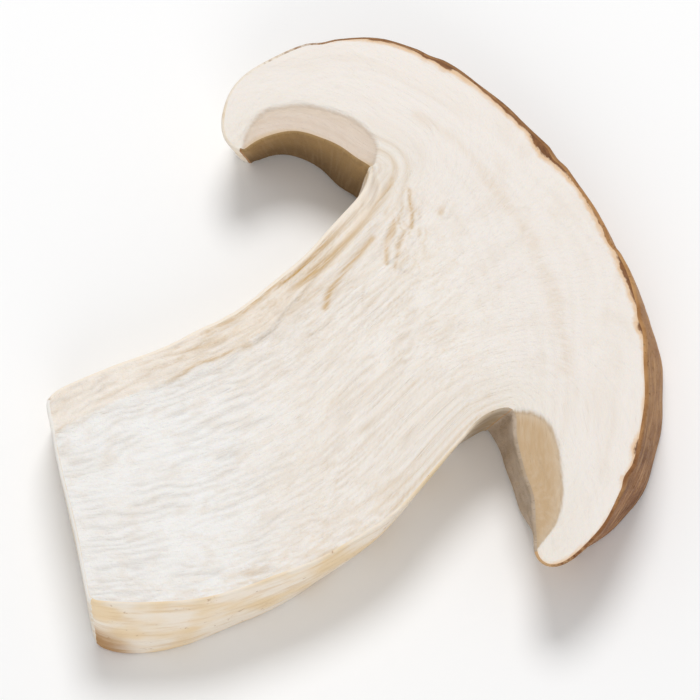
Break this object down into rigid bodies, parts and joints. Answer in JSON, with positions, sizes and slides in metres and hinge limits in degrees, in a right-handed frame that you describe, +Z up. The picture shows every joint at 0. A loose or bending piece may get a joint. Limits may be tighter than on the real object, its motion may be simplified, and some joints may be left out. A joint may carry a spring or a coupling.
{
  "type": "sliced porcini mushroom",
  "caption": "Lengthwise slice of a small porcini mushroom: cap with inrolled margins, brown skin and tube layer, and a thick stem cut off at its base. Lies flat on its wider cut face.",
  "frame": {"origin": "on the surface that the slice lies on, under the middle of its box", "axes": "+Z up out of the upper cut face, +Y from the stem's cut end to the top of the cap, +X to the right when the face is seen from above with the cap away from the viewer"},
  "size_m": [0.077, 0.0802, 0.0101],
  "materials": {
    "flesh": "matt, off-white, slightly moist, with fine fibres along the stem"
  },
  "bodies": {
    "root": {"porcini_slice": "flesh"}
  },
  "joints": []
}
